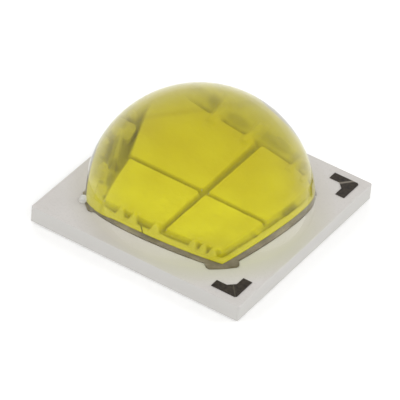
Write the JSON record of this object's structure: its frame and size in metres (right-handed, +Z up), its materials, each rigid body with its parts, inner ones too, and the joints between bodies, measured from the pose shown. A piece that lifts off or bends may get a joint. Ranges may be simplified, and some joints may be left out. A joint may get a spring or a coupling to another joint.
{
  "type": "white power led",
  "caption": "Surface-mount white power LED: square ceramic base, phosphor-coated chips in a square array, clear half-round silicone dome.",
  "frame": {"origin": "centre of the square base's outline, at the level of the solder pads' faces", "axes": "+Z up through the dome, +X towards the side with the two dark corner marks, -Y front"},
  "size_m": [0.007, 0.007, 0.0037],
  "materials": {
    "white_ceramic": "matt fired aluminium nitride or alumina, pale warm grey, saw-cut edges",
    "gold_plating": "satin gold flash over nickel and copper",
    "via_metal": "plated copper fill",
    "silver_plating": "dull silver-grey plating, slightly tarnished",
    "die_solder": "gold-tin solder film",
    "led_chip": "etched semiconductor chip",
    "silicon": "diced silicon",
    "bond_gold": "drawn gold wire",
    "yellow_phosphor": "yellow phosphor powder in silicone, fine satin",
    "clear_silicone": "clear moulded silicone, smooth",
    "dark_mark": "dark brown-grey printed mark"
  },
  "bodies": {
    "root": {"anode_pad": "gold_plating", "anode_vias": "via_metal", "bond_wire_back_left_1": "bond_gold", "bond_wire_back_left_2": "bond_gold", "bond_wire_back_right_1": "bond_gold", "bond_wire_back_right_2": "bond_gold", "bond_wire_front_left_1": "bond_gold", "bond_wire_front_left_2": "bond_gold", "bond_wire_front_left_3": "bond_gold", "bond_wire_front_right_1": "bond_gold", "bond_wire_front_right_2": "bond_gold", "bond_wire_front_right_3": "bond_gold", "cathode_pad": "gold_plating", "cathode_vias": "via_metal", "ceramic_base": "white_ceramic", "contact_ring": "silver_plating", "corner_mark_back": "dark_mark", "corner_mark_front": "dark_mark", "die_bond_back_left": "die_solder", "die_bond_back_right": "die_solder", "die_bond_front_left": "die_solder", "die_bond_front_right": "die_solder", "die_pad": "silver_plating", "diode_wire": "bond_gold", "led_chip_back_left": "led_chip", "led_chip_back_right": "led_chip", "led_chip_front_left": "led_chip", "led_chip_front_right": "led_chip", "phosphor_coat": "yellow_phosphor", "silicone_dome": "clear_silicone", "surge_diode": "silicon", "thermal_pad": "gold_plating"}
  },
  "joints": []
}
